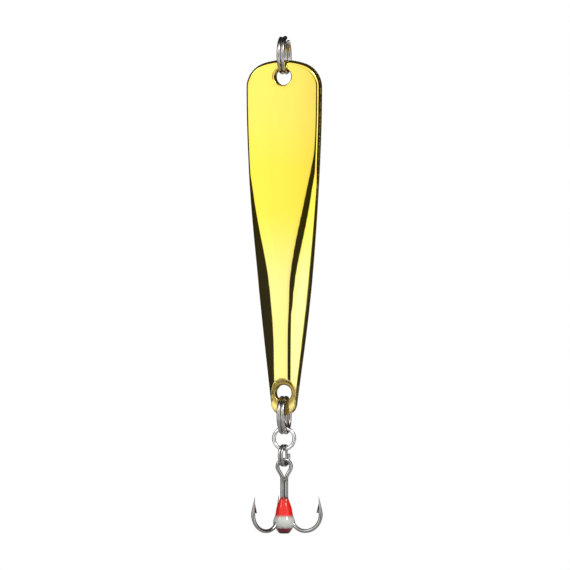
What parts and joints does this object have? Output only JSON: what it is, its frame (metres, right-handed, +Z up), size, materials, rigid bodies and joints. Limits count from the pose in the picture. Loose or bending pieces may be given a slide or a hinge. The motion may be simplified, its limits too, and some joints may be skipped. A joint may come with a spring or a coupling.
{
  "type": "spoon lure",
  "caption": "Gold plated jigging spoon, bevelled towards a narrow tail, hung from a split ring, with a chain of rings and a treble hook that carries a red and white epoxy bead.",
  "frame": {"origin": "centre of the line split ring at the top, where the lure hangs from the line", "axes": "+Z up, towards the rod; the bevelled front of the blade faces -Y; +X is across the blade to its right as seen from the front"},
  "size_m": [0.0112, 0.0101, 0.0706],
  "materials": {
    "gold_plating": "mirror polished gold-coloured plating over a cast brass blade",
    "ring_steel": "bright drawn spring wire",
    "link_steel": "bright polished wire",
    "hook_steel": "black nickel plated wire",
    "braze": "rough plated braze",
    "red_epoxy": "glossy fluorescent red epoxy",
    "white_epoxy": "glossy white epoxy",
    "dark_red_epoxy": "glossy dark red epoxy"
  },
  "bodies": {
    "line_ring": {"line_split_ring": "ring_steel"},
    "blade": {"spoon_body": "gold_plating"},
    "tail_ring": {"tail_split_ring": "ring_steel"},
    "link": {"link_ring": "link_steel"},
    "hook_ring": {"hook_split_ring": "ring_steel"},
    "hook": {"double_hook_wire": "hook_steel", "single_hook_wire": "hook_steel", "shank_braze": "braze", "bead_red_upper": "red_epoxy", "bead_white_band": "white_epoxy", "bead_red_base": "dark_red_epoxy"}
  },
  "joints": [
    {"name": "blade_swing", "type": "hinge", "parent": "line_ring", "child": "blade", "pos_m": [0, 0, 0], "axis": [1, 0, 0], "range_deg": [-110, 110]},
    {"name": "tail_ring_swing", "type": "hinge", "parent": "blade", "child": "tail_ring", "pos_m": [0, 0, -0.04792], "axis": [0, 1, 0], "range_deg": [-60, 60]},
    {"name": "link_swing", "type": "hinge", "parent": "tail_ring", "child": "link", "pos_m": [0, 0, -0.05106], "axis": [1, 0, 0], "range_deg": [-70, 70]},
    {"name": "hook_ring_swing", "type": "hinge", "parent": "link", "child": "hook_ring", "pos_m": [0, 0, -0.05439], "axis": [0, 1, 0], "range_deg": [-65, 65]},
    {"name": "hook_swing", "type": "hinge", "parent": "hook_ring", "child": "hook", "pos_m": [0, 0, -0.05678], "axis": [0.9848, -0.1736, 0], "range_deg": [-60, 60]}
  ]
}
